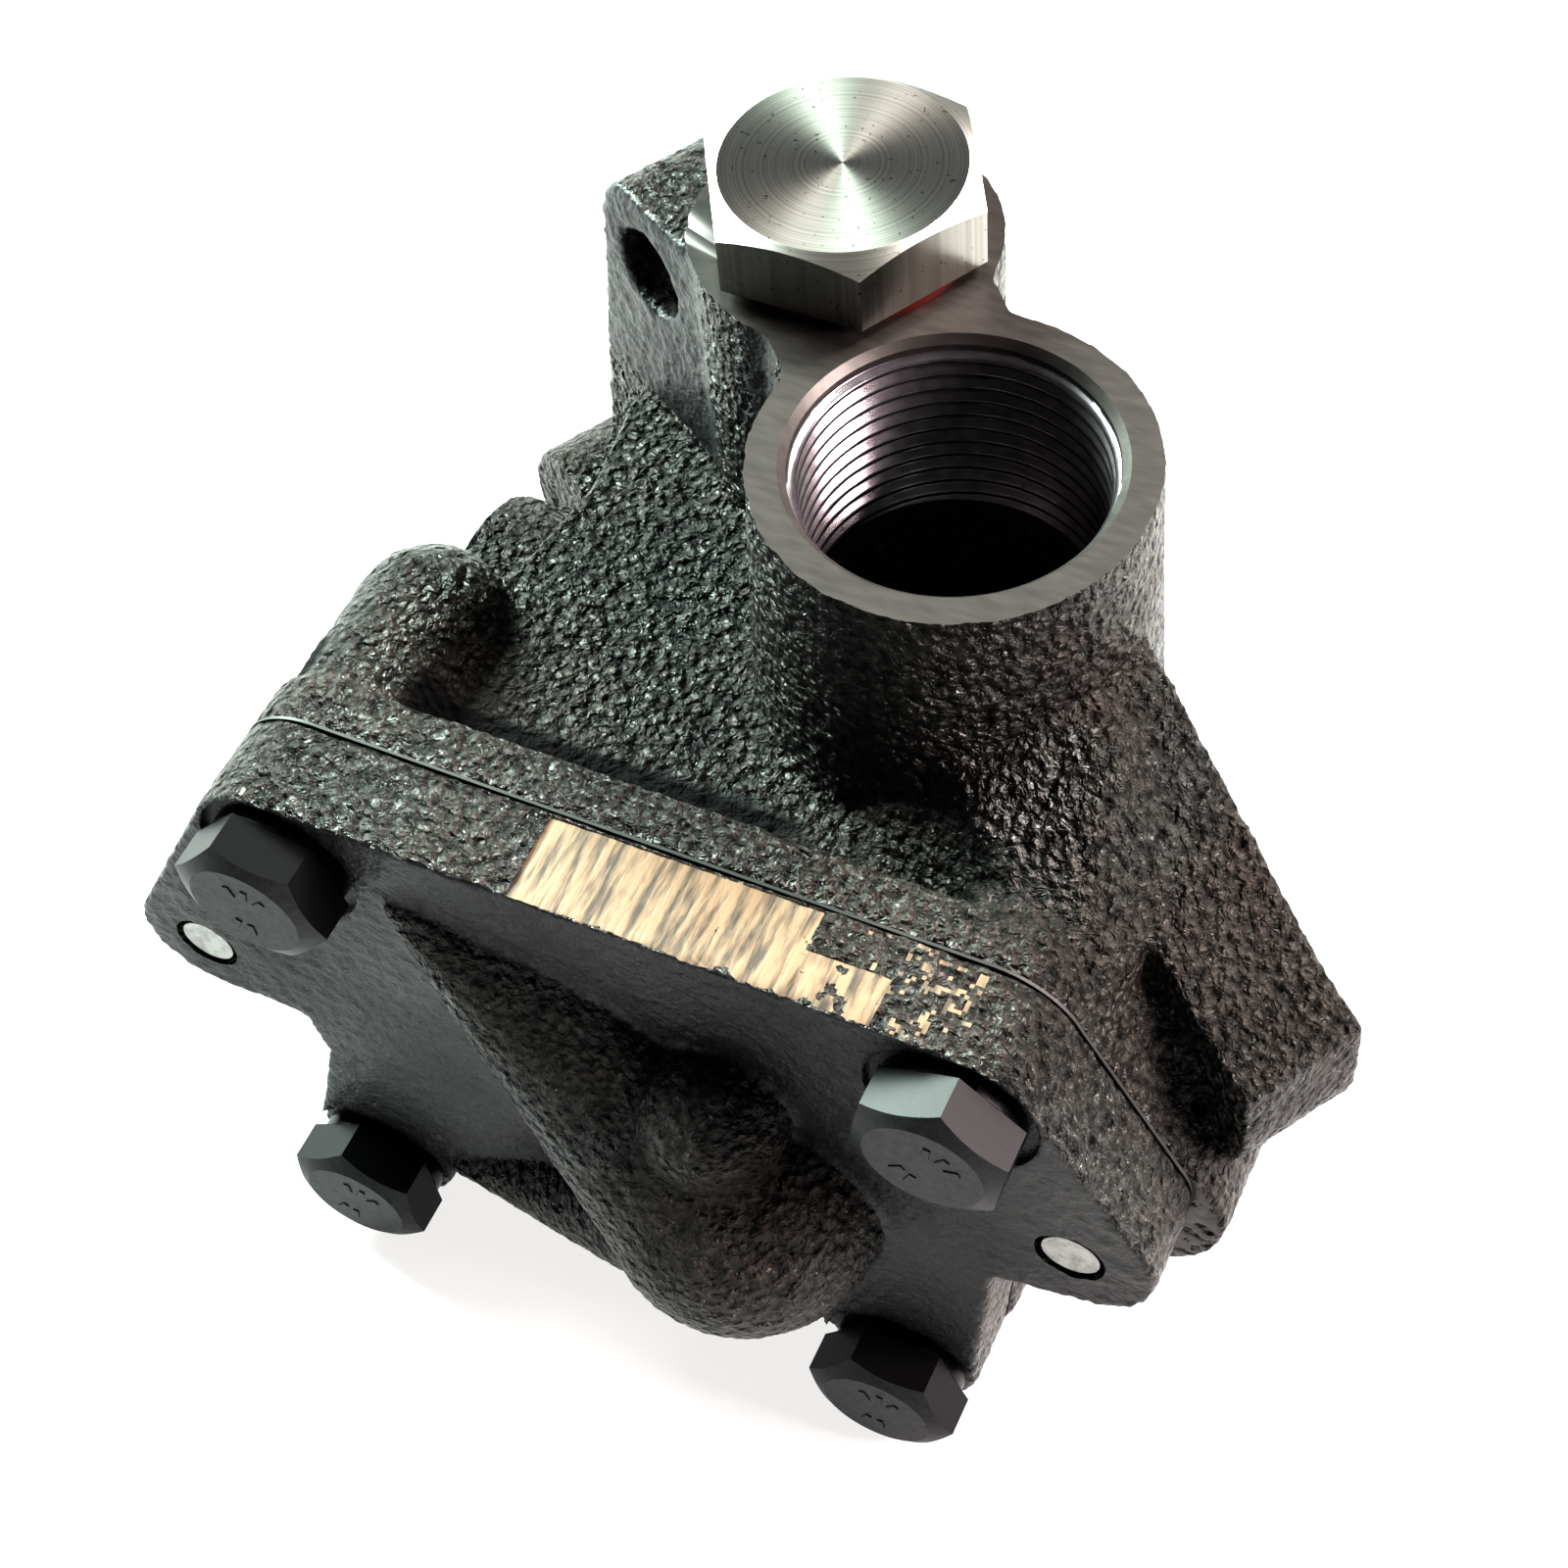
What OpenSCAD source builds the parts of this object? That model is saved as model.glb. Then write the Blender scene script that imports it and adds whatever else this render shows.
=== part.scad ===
// Gear pump with a cast iron body, a bolted front cover and a relief valve under a hex plug.
// Two gears turn side by side between the cover and the body. The threaded suction port
// stands on top, and the body is fixed by a flange that is turned in plan to the shafts.
// Origin: axis of the drive shaft at the drive end face. +Y points out of the drive end,
// the cover faces -Y, and +Z runs up through the suction port and the plug.

/* [Gears] */
// Distance between the two gear shafts
centre_distance = 35; // [35:1:35]
// Teeth on each gear
gear_teeth = 10; // [10:1:10]
// Gear width along the shaft
gear_width = 20; // [14:0.5:22]
// Pressure angle of the teeth
pressure_angle = 28; // [26:1:30]
// Gap taken off each tooth flank
flank_clearance = 0.1; // [0.06:0.01:0.2]

/* [Shafts and bushes] */
// Radius of both gear shafts
shaft_r = 7.5; // [6:0.5:8]
// Radius of the free end of the drive shaft
drive_end_r = 7; // [5:0.5:7]
// Free length of the drive shaft outside the body
drive_end_len = 24; // [18:1:32]
// Outer radius of the bearing bushes
bush_r = 10; // [9.5:0.25:10.5]
// Radial running clearance of shafts and gears
running_gap = 0.05; // [0.02:0.01:0.1]

/* [Cover] */
// Thickness of the front cover plate
cover_t = 12; // [11:0.5:14]
// Thickness of the joint gasket
gasket_t = 0.4; // [0.3:0.1:0.8]
// Radius of the round bearing dome
dome_r = 17; // [16:0.1:18]

/* [Fasteners] */
// Thread radius of the cover bolts
bolt_r = 5; // [5:1:5]
// Across flats of the cover bolt heads
bolt_af = 17; // [16:1:17]
// Radius of the locating dowels
dowel_r = 3.5; // [3:0.25:4]

/* [Ports] */
// Wall radius of the threaded suction port
suction_r = 17; // [15:0.5:17]
// Outer radius of the suction boss at its face
suction_boss_r = 22.4; // [21.5:0.1:23]
// Height of the suction face above the shafts
suction_top = 73.2; // [70:0.1:78]
// Wall radius of the threaded delivery port
delivery_r = 10; // [8:0.5:10.5]

/* [Relief valve] */
// Across flats of the plug
plug_af = 30; // [27:1:30]
// Thread radius of the plug
plug_thread_r = 12; // [11:0.5:12.5]
// Radius of the valve piston
piston_r = 9; // [8:0.25:9.5]
// Wire radius of the valve spring
spring_wire_r = 1; // [0.8:0.1:1.1]

/* [Mounting flange] */
// Turn of the flange from the cover plane
flange_turn = 31.3; // [25:0.1:35]
// Thickness of the flange
flange_t = 16.5; // [14:0.5:18]
// Radius of the through hole in the left ear
fixing_r = 5.75; // [5:0.25:6]

/* [Hidden] */
$fn = 64;
eps = 0.02;
side_inset = 0.03;

// Pump frame: X across the gears, Y = 0 on the cover's joint face, Z = 0 at the shafts
gear_x = centre_distance / 2;
drive_end_y = 62;
body_front = gasket_t;
gear_module = centre_distance / gear_teeth;
gear_tip_r = gear_x + 0.96 * gear_module;
gear_root_r = gear_x - 1.14 * gear_module;
chamber_r = gear_tip_r + 0.08;
gear_front = gasket_t + 0.05;
chamber_back = gear_front + gear_width + 0.05;

// Cover bolts as [x, z], and the seat of their washers
bolts = [[-40, 35], [43, 34.5], [-40, -34.5], [35, -34]];
bolt_seat_y = 1.2 - cover_t;
washer_t = 2.2;
bolt_head_h = 6.4;
bolt_len = 34;
spot_r = 10;

// Gear case: its top, its plan as [x, y], how far its parts reach back, and the feet's height
case_top = 38;
case_plan = [[-38, body_front], [52, body_front], [52, 18], [36, 52], [-18, 66], [-33, 66],
             [-31, 50], [-34, 32]];
lip_back = 7;
case_back = 26;
bearing_case_back = 40;
case_r = 27;
bolt_boss_r = 10;
bolt_boss_back = [25, 12];
foot_back = 46;
foot_z = 44.5;
// Cast shoulder from the suction boss to the upper right bolt, and the web behind it that
// runs down to the flange, as [x, y, z] centres of their round corners
shoulder = [[50, 6, 0], [50, 6, 36], [51, 20, 0], [51, 20, 39.5], [44, 27, 50], [26, 12, 30],
            [33, 19, 42]];
shoulder_r = 5;
side_web = [[50, 8, 34], [50, 21, 37], [58, 12, 14], [56, 16, 26], [51, 10, 10]];
side_web_r = 4;

// Dowels as [x, z]
dowels = [[-56.5, 8], [57, 11.3]];
dowel_back = 12;

// Bearings: lengths of the four bushes
bush_front_drive = 20;
bush_front_driven = 9;
bush_rear = 16;
bush_back = chamber_back + bush_rear;
dome_y = -1.5 - cover_t;
dome_x = gear_x - 0.4;

// Shaft seal and its circlip at the drive end
seal_r = 15;
seal_t = 7;
seal_y = drive_end_y - 13;
circlip_t = 1.2;
circlip_y = seal_y + seal_t + 0.1;
snout_r = 20;
coupling_r = 13;
snout_relief_w = 1.2;
snout_relief_t = 0.6;

// Suction port on top of the body
suction_xy = [21.7, 41.1];
suction_thread_depth = 26;
suction_depth = 50;
suction_chamfer = 1.8;

// Relief valve axis and heights
valve_xy = [-3.1, 68.7];
valve_boss_r = 18;
plug_washer_t = 1.5;
plug_head_h = 9;
plug_shank = 15;
valve_bore_bottom = 14;
seat_h = 7;
seat_top = valve_bore_bottom + seat_h;
piston_len = 20;
piston_wall = 2.4;
piston_floor = 4;
spring_turns = 9;
spring_coil_r = 5.2;
spring_recess_r = 7;

// Keys, driving tongue and the turn of each bolt head
key_w = 4;
key_sink = 2.4;
key_rise = 1.8;
tongue_len = 8;
tongue_t = 6;
head_turn = [12, 40, 25, 8];

// Return from the valve to suction, delivery port and the pressure gallery
return_z = 27;
return_r = 3.5;
return_turn = atan2(suction_xy[1] - valve_xy[1], suction_xy[0] - valve_xy[0]);
delivery_yz = [48, 6];
delivery_face_x = -49;
delivery_boss_r = 17;
gallery_z = -18;

// Mounting flange, in its own turned frame: s along the flange, t through it, z up
flange_front = 40.6;
flange_back = flange_front + flange_t;
left_ear = [-56.7, 62];
right_ear = [47.5, 19];
low_ear = [-72, 8];
tapped_r = 5;
tapped_depth = 13;

function polar(r, a) = [r * cos(a), r * sin(a)];
function involute_angle(a) = tan(a) * 180 / PI - a;

// Half angle of a tooth at radius r, from the involute above the base circle
function tooth_half(r) = pitch_half + involute_angle(pressure_angle)
    - involute_angle(acos(min(1, base_r / r)));
base_r = gear_x * cos(pressure_angle);
pitch_half = 90 / gear_teeth - flank_clearance / gear_x * 180 / PI;
flank_radii = [for (i = [0:6]) base_r + (gear_tip_r - base_r) * i / 6];
gear_points = [for (t = [0:gear_teeth - 1]) let (a = 360 / gear_teeth * t) each concat(
    [polar(gear_root_r, a - tooth_half(base_r))],
    [for (r = flank_radii) polar(r, a - tooth_half(r))],
    [for (i = [6:-1:0]) polar(flank_radii[i], a + tooth_half(flank_radii[i]))],
    [polar(gear_root_r, a + tooth_half(base_r))])];

// A plate outline between two circles, with true arcs and sides a hair inside the tangents
module bar(p, r, q, s) {
    d = q - p;
    turn = atan2(d[1], d[0]);
    spread = acos((r - s) / norm(d));
    translate(p) circle(r);
    translate(q) circle(s);
    polygon([p + polar(r - side_inset, turn + spread), p + polar(r - side_inset, turn - spread),
             q + polar(s - side_inset, turn - spread), q + polar(s - side_inset, turn + spread)]);
}

// Pump frame placed so that the drive end of the shaft is the origin
module placed() translate([-gear_x, -drive_end_y, 0]) children();

// Extrusion of an [x, z] outline from y = a to y = b
module along_y(a, b) translate([0, b, 0]) rotate([90, 0, 0]) linear_extrude(b - a) children();

// Round solid about an axis along Y through [x, z]
module rod_y(p, r, a, b) translate([p[0], b, p[1]]) rotate([90, 0, 0]) cylinder(r = r, h = b - a);

// Flange frame: outline in [s, z], extruded from t = a to t = b
module along_flange(a, b) rotate([0, 0, -flange_turn]) along_y(a, b) children();

module ring(outer, inner, h) difference() {
    cylinder(r = outer, h = h);
    translate([0, 0, -1]) cylinder(r = inner, h = h + 2);
}

// Radial bush about an axis along Y
module bush(x, a, b) placed() difference() {
    rod_y([x, 0], bush_r, a, b);
    rod_y([x, 0], shaft_r + running_gap, a - 1, b + 1);
}

/* Joint outline shared by the cover, the gasket and the body */
module joint_outline() {
    bar(bolts[0], 11, bolts[1], 11);
    bar(bolts[0], 11, dowels[0], 9.2);
    bar(bolts[1], 11, dowels[1], 10);
    bar([-28, 0], 12, bolts[2], 9.5);
    bar([32, 4], 16, bolts[3], 9.8);
    bar([-gear_x, 0], case_r, [gear_x, 0], case_r);
    bar(dowels[0], 9.2, [-34, 10], 12);
    bar(dowels[1], 10, [34, 10], 14);
    translate([-40, 0]) square([80, 44]);
    translate([-12, -28]) square([40, 20]);
}

// Rounded gear pocket that joins both gear bores
module chamber_outline() {
    for (x = [-gear_x, gear_x]) translate([x, 0]) circle(chamber_r);
}

module pump_body() {
    color("#4a4843") placed() difference() {
        body_solid();
        body_hollows();
    }
}

// Body outline behind the lip of the joint
module case_outline() {
    bar([-gear_x, 0], case_r, [gear_x, 0], case_r);
    bar([-28, 0], 12, bolts[2], 9.5);
    bar([32, 4], 16, bolts[3], 9.8);
}

module body_solid() {
    // Gear case, and the lip along the joint face
    along_y(body_front, lip_back) joint_outline();
    along_y(body_front, case_back) case_outline();
    along_y(body_front, bearing_case_back) bar([-gear_x, 0], case_r, [gear_x, 0], case_r);
    translate([0, 0, -12]) linear_extrude(case_top + 12) polygon(case_plan);
    // Bolt bosses: the upper ones have round ends, the lower ones are the feet of the pump
    for (i = [0, 1]) {
        rod_y(bolts[i], bolt_boss_r, body_front, bolt_boss_back[i]);
        translate([bolts[i][0], bolt_boss_back[i], bolts[i][1]]) rotate([90, 0, 0])
            sphere(bolt_boss_r);
    }
    for (i = [2, 3]) rod_y(bolts[i], foot_z + bolts[i][1], body_front, foot_back);
    // Dowel lobes and the right wall of the case
    rod_y(dowels[0], 9.2, body_front, 14);
    rod_y([57.5, 5.5], 13.5, body_front, 17);
    rod_y([40, 10], 16, body_front, 22);
    hull() {
        for (c = shoulder) translate(c) sphere(shoulder_r, $fn = 24);
        translate([30, 34, 20]) cylinder(r = 11, h = 33, $fn = 32);
    }
    hull() for (c = side_web) translate(c) sphere(side_web_r, $fn = 24);
    // Suction boss with casting draft
    translate([suction_xy[0], suction_xy[1], 20])
        cylinder(r1 = suction_boss_r + 2, r2 = suction_boss_r, h = suction_top - 20);
    // Relief valve boss and the flat web between the two
    translate([valve_xy[0], valve_xy[1], gallery_z - 10])
        cylinder(r = valve_boss_r, h = suction_top + 10 - gallery_z);
    translate([0, 0, 25]) linear_extrude(suction_top - 25)
        bar(valve_xy + [-1, 0], 13, suction_xy, 13);
    // Drive end bearing housing and the boss round the pressure gallery
    rod_y([gear_x, 0], snout_r, 10, drive_end_y);
    rod_y([valve_xy[0], gallery_z], 10, 6, valve_xy[1]);
    // Delivery boss on the left
    translate([delivery_face_x, delivery_yz[0], delivery_yz[1]]) rotate([0, 90, 0])
        cylinder(r = delivery_boss_r, h = 40);
    flange_solid();
}

module flange_solid() {
    along_flange(flange_front, flange_back) {
        polygon([[-67, 64], [-74.4, 19.6], [-78, 0], [-30, -20], [20, -20], [50, 9], [58.3, 17],
                 [58.3, 28], [50.3, 31.8], [22, 53.7], [12, 60], [-30, 60], [-45, 72.6], [-59, 72.6]]);
        translate([-59.2, 64.8]) circle(7.8);
        translate(right_ear) circle(11);
    }
    along_flange(flange_front - 8, flange_back) translate(low_ear) circle(11);
}

module body_hollows() {
    // Gear pocket, bush bores and shaft bore
    along_y(body_front - 1, chamber_back) chamber_outline();
    for (x = [-gear_x, gear_x]) rod_y([x, 0], bush_r, chamber_back - 1, bush_back);
    rod_y([gear_x, 0], shaft_r + 0.5, chamber_back, drive_end_y + 1);
    rod_y([-gear_x, 0], shaft_r + 0.5, chamber_back, bush_back + 3);
    // Shaft seal bore with its circlip groove
    rod_y([gear_x, 0], seal_r, seal_y, drive_end_y + 1);
    rod_y([gear_x, 0], seal_r + 0.9, circlip_y, circlip_y + circlip_t + 0.1);
    // Relief cut round the snout in the flange's back face
    intersection() {
        difference() {
            rod_y([gear_x, 0], snout_r + snout_relief_w, flange_front, drive_end_y + 8);
            rod_y([gear_x, 0], snout_r, flange_front - 1, drive_end_y + 9);
        }
        along_flange(flange_back - snout_relief_t, flange_back + 20) square(120, center = true);
    }
    // Room for the coupling on the free end of the shaft
    rod_y([gear_x, 0], coupling_r, drive_end_y, drive_end_y + drive_end_len + 10);
    // Suction bore and its passage into the mesh
    translate([suction_xy[0], suction_xy[1], suction_top]) {
        translate([0, 0, -suction_thread_depth]) cylinder(r = suction_r, h = suction_thread_depth + 1);
        translate([0, 0, -suction_depth]) cylinder(r = suction_r - 1.2, h = suction_depth);
        translate([0, 0, -suction_chamfer])
            cylinder(r1 = suction_r, r2 = suction_r + suction_chamfer + eps,
                     h = suction_chamfer + eps);
    }
    translate([-9, 3, 6]) cube([18, 15, 26]);
    translate([-9, 3, 21]) cube([24, 34, 11]);
    // Delivery pocket under the mesh and the delivery port
    translate([-9, 3, gallery_z - 5]) cube([12, 15, 20]);
    rod_y([valve_xy[0], gallery_z], 5.5, 8, valve_xy[1]);
    translate([valve_xy[0], delivery_yz[0], gallery_z])
        cylinder(r = 5, h = delivery_yz[1] - gallery_z);
    translate([delivery_face_x - 1, delivery_yz[0], delivery_yz[1]]) rotate([0, 90, 0]) {
        cylinder(r = delivery_r, h = 15);
        cylinder(r = 5.5, h = valve_xy[0] - delivery_face_x + 1);
    }
    // Relief valve: drilled feed, piston bore, plug thread and the return to suction
    translate([valve_xy[0], valve_xy[1], 0]) {
        translate([0, 0, gallery_z]) cylinder(r = 4.5, h = 60);
        translate([0, 0, valve_bore_bottom]) cylinder(r = piston_r + running_gap, h = 60);
        translate([0, 0, suction_top - plug_shank - 1]) cylinder(r = plug_thread_r, h = plug_shank + 2);
        translate([0, 0, return_z]) rotate([0, 90, return_turn]) cylinder(r = return_r, h = 26);
    }
    // Bolt, dowel and fixing holes
    for (b = bolts) rod_y(b, bolt_r, body_front - 1, bolt_len - 6);
    for (d = dowels) rod_y(d, dowel_r, body_front - 1, dowel_back);
    along_flange(flange_front - 1, flange_back + 1) translate(left_ear) circle(fixing_r);
    along_flange(flange_back - tapped_depth, flange_back + 1) for (e = [right_ear, low_ear])
        translate(e) circle(tapped_r);
}

module front_cover() {
    color("#45433f") placed() difference() {
        union() {
            along_y(-cover_t, 0) joint_outline();
            translate([dome_x, dome_y, 0]) rotate([90, 0, 0]) sphere(dome_r);
            gallery();
        }
        for (b = bolts) {
            rod_y(b, bolt_r + 0.5, -cover_t - 9, 1);
            rod_y(b, spot_r, -cover_t - 9, bolt_seat_y);
        }
        for (d = dowels) rod_y(d, dowel_r, -cover_t - 1, 1);
        along_y(0, dome_r) square(160, center = true);
        rod_y([gear_x, 0], bush_r, -bush_front_drive, 1);
        rod_y([-gear_x, 0], bush_r, -bush_front_driven, 1);
    }
}

// Raised oil gallery from the upper left bolt to the dome, with a straight ridge on its lower
// side, and the rib below it that starts at the lower left bolt
module gallery() {
    hull() {
        rod_y([-24.6, 34.5], 1.3, -13, -10);
        rod_y([dome_x - 13, -7], 1.5, -21, -10);
        translate([dome_x, dome_y, 0]) sphere(dome_r - 0.3, $fn = 48);
        translate([-3, -9.5, 27]) sphere(5, $fn = 24);
    }
    hull() {
        translate([-27, -10.5, -27.5]) sphere(2.5, $fn = 24);
        translate([4, -17, -16]) sphere(3, $fn = 24);
        translate([12, -17, -10]) sphere(8, $fn = 32);
    }
}

module cover_gasket() {
    color("#1d1b19") placed() difference() {
        along_y(0, gasket_t) joint_outline();
        for (x = [-gear_x, gear_x]) rod_y([x, 0], chamber_r + 0.5, -1, 1);
        for (b = bolts) rod_y(b, bolt_r + 0.5, -1, 1);
        for (d = dowels) rod_y(d, dowel_r + 0.2, -1, 1);
    }
}

// Hex prism with the turned chamfer of a bolt head, face down at z = 0
module hex_head(af, h, chamfer) {
    corner_r = af / 2 / cos(30);
    intersection() {
        cylinder(r = corner_r, h = h, $fn = 6);
        union() {
            cylinder(r = corner_r + 1, h = h - chamfer);
            translate([0, 0, h - chamfer])
                cylinder(r1 = corner_r, r2 = corner_r - chamfer * 2, h = chamfer);
        }
    }
}

module cover_bolts() {
    color("#26262a") placed() for (i = [0:3])
        translate([bolts[i][0], bolt_seat_y - washer_t, bolts[i][1]]) rotate([90, head_turn[i], 0]) {
            hex_head(bolt_af, bolt_head_h, 1.4);
            translate([0, 0, -bolt_len]) cylinder(r = bolt_r - 0.02, h = bolt_len + eps);
        }
}

module lock_washers() {
    color("#2b2b2e") placed() for (b = bolts)
        translate([b[0], bolt_seat_y, b[1]]) rotate([90, 0, 0]) difference() {
            ring(8.6, bolt_r + 0.2, washer_t);
            rotate([0, 0, 70]) translate([4, -0.6, -1]) cube([6, 1.2, washer_t + 2]);
        }
}

module dowel_pins() {
    color("#8f8f8b") placed() for (d = dowels)
        rod_y(d, dowel_r - 0.01, 0.3 - cover_t, dowel_back - 0.5);
}

// One gear, with its bore and keyway, centred on the Z axis
module gear(turn) {
    difference() {
        rotate([0, 0, turn]) linear_extrude(gear_width) polygon(gear_points);
        translate([0, 0, -1]) cylinder(r = shaft_r + 0.01, h = gear_width + 2);
        translate([0, -key_w / 2, -1]) cube([shaft_r + key_rise, key_w, gear_width + 2]);
    }
}

// Gear placed on its shaft, its front face just behind the joint
module placed_gear(x, turn) placed()
    translate([x, gear_front + gear_width, 0]) rotate([90, 0, 0]) gear(turn);

module drive_gear() color("#77777a") placed_gear(gear_x, 0);
module driven_gear() color("#77777a") placed_gear(-gear_x, 180 / gear_teeth);

// Straight key that locks a gear to its shaft
module gear_key(x) placed() translate([x + shaft_r - key_sink, gear_front + 2, 0.02 - key_w / 2])
    cube([key_sink + key_rise - 0.05, gear_width - 4, key_w - 0.04]);

module drive_gear_key() color("#6e6e70") gear_key(gear_x);
module driven_gear_key() color("#6e6e70") gear_key(-gear_x);

module keyway(x) translate([x + shaft_r - key_sink - 0.02, gear_front + 2 - 0.02, -key_w / 2])
    cube([key_sink + 1, gear_width - 4 + 0.04, key_w]);

// Drive shaft with a stepped free end and a flat driving tongue
module drive_shaft() {
    color("#a9a9a6") placed() difference() {
        union() {
            rod_y([gear_x, 0], shaft_r, 1 - bush_front_drive, drive_end_y);
            rod_y([gear_x, 0], drive_end_r, drive_end_y - eps, drive_end_y + drive_end_len);
        }
        keyway(gear_x);
        for (side = [0, 1]) mirror([0, 0, side])
            translate([gear_x - 10, drive_end_y + drive_end_len - tongue_len, tongue_t / 2])
                cube([20, tongue_len + 1, 10]);
    }
}

module driven_shaft() {
    color("#a9a9a6") placed() difference() {
        rod_y([-gear_x, 0], shaft_r, 1 - bush_front_driven, bush_back + 1);
        keyway(-gear_x);
    }
}

module drive_bush_front() color("#8a6f3c") bush(gear_x, -bush_front_drive + 0.5, 0);
module driven_bush_front() color("#8a6f3c") bush(-gear_x, -bush_front_driven + 0.5, 0);
module drive_bush_rear() color("#8a6f3c") bush(gear_x, chamber_back, bush_back);
module driven_bush_rear() color("#8a6f3c") bush(-gear_x, chamber_back, bush_back);

// Lip seal: a cased ring with its open side towards the oil
module shaft_seal() {
    color("#2a211c") placed() translate([gear_x, seal_y + seal_t, 0]) rotate([90, 0, 0])
        rotate_extrude() polygon([[shaft_r + 0.06, 0.8], [shaft_r + 1.2, 0], [seal_r, 0],
            [seal_r, seal_t], [seal_r - 1, seal_t], [seal_r - 1, 1.6], [shaft_r + 2.6, 1.6],
            [shaft_r + 2, seal_t - 1], [shaft_r + 0.06, seal_t - 2]]);
}

module seal_circlip() {
    color("#55555a") placed() translate([gear_x, circlip_y + circlip_t, 0]) rotate([90, 0, 0])
    difference() {
        ring(seal_r + 0.8, seal_r - 1.8, circlip_t);
        translate([-2.5, 0, -1]) cube([5, seal_r + 2, circlip_t + 2]);
    }
}

module relief_plug() {
    color("#b9b9b4") placed() translate([valve_xy[0], valve_xy[1], suction_top + plug_washer_t])
    difference() {
        union() {
            hex_head(plug_af, plug_head_h, 1.6);
            translate([0, 0, -plug_shank - plug_washer_t])
                cylinder(r = plug_thread_r - 0.03, h = plug_shank + plug_washer_t + eps);
        }
        translate([0, 0, -plug_shank - plug_washer_t - 1]) cylinder(r = spring_recess_r, h = 11);
    }
}

module plug_washer() {
    color("#8d4a2c") placed() translate([valve_xy[0], valve_xy[1], suction_top])
        ring(14.6, plug_thread_r + 0.1, plug_washer_t);
}

module relief_piston() {
    color("#9b9b98") placed() translate([valve_xy[0], valve_xy[1], seat_top]) difference() {
        union() {
            cylinder(r = piston_r, h = piston_len);
            translate([0, 0, -2.5]) cylinder(r1 = 3, r2 = 4.2, h = 2.5 + eps);
        }
        translate([0, 0, piston_floor]) cylinder(r = piston_r - piston_wall, h = piston_len);
    }
}

module relief_seat() {
    color("#7d7d7a") placed() translate([valve_xy[0], valve_xy[1], valve_bore_bottom])
        ring(piston_r + running_gap - 0.01, 4.6, seat_h - 0.02);
}

// Coil spring from the piston floor up to the recess in the plug
module relief_spring() {
    bottom = seat_top + piston_floor;
    top = suction_top - plug_shank + 10;
    rise = top - bottom - 2 * spring_wire_r - 0.2;
    steps = 20 * spring_turns;
    path = [for (i = [0:steps]) let (a = 360 * i / 20)
        [spring_coil_r * cos(a), spring_coil_r * sin(a),
         bottom + spring_wire_r + 0.1 + rise * i / steps]];
    rings = [for (i = [0:steps]) let (a = 360 * i / 20) for (k = [0:7])
        path[i] + spring_wire_r * [cos(a) * cos(45 * k), sin(a) * cos(45 * k), -sin(45 * k)]];
    sides = [for (i = [0:steps - 1]) for (k = [0:7])
        [i * 8 + k, (i + 1) * 8 + k, (i + 1) * 8 + (k + 1) % 8, i * 8 + (k + 1) % 8]];
    caps = [[for (k = [0:7]) k], [for (k = [7:-1:0]) steps * 8 + k]];
    color("#9a9a9c") placed() translate([valve_xy[0], valve_xy[1], 0])
        polyhedron(points = rings, faces = concat(sides, caps));
}

pump_body();
front_cover();
cover_gasket();
cover_bolts();
lock_washers();
dowel_pins();
drive_shaft();
drive_gear();
drive_gear_key();
driven_shaft();
driven_gear();
driven_gear_key();
drive_bush_front();
drive_bush_rear();
driven_bush_front();
driven_bush_rear();
shaft_seal();
seal_circlip();
relief_plug();
plug_washer();
relief_spring();
relief_piston();
relief_seat();
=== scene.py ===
"""Cast iron gear pump: the looks of every piece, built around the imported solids.

The two castings come first, then the gasket, the fasteners, the relief valve, the gears
and shafts, the drive end, and last the floor, the light and the camera.
"""

import math

import bmesh
import bpy
import numpy as np
from mathutils import Matrix, Vector


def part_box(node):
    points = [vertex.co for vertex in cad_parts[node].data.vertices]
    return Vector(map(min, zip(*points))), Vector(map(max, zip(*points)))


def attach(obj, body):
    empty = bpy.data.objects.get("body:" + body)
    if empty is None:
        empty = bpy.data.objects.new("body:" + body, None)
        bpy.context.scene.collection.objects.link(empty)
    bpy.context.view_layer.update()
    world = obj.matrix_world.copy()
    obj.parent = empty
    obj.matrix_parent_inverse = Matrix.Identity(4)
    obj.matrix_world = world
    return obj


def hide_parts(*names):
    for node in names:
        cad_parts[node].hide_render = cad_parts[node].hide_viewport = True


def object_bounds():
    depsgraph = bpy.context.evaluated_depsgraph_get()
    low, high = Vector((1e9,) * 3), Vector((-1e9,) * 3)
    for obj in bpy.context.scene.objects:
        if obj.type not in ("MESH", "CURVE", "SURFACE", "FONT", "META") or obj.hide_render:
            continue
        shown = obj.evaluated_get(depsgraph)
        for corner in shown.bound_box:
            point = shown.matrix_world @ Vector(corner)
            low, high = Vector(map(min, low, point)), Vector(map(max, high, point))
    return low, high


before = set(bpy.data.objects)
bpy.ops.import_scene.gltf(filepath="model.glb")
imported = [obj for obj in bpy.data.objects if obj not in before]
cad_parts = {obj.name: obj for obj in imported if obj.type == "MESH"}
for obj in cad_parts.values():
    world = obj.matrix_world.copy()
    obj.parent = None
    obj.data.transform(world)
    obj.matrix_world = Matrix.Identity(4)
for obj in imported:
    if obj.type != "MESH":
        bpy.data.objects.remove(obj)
cad_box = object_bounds()

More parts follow.
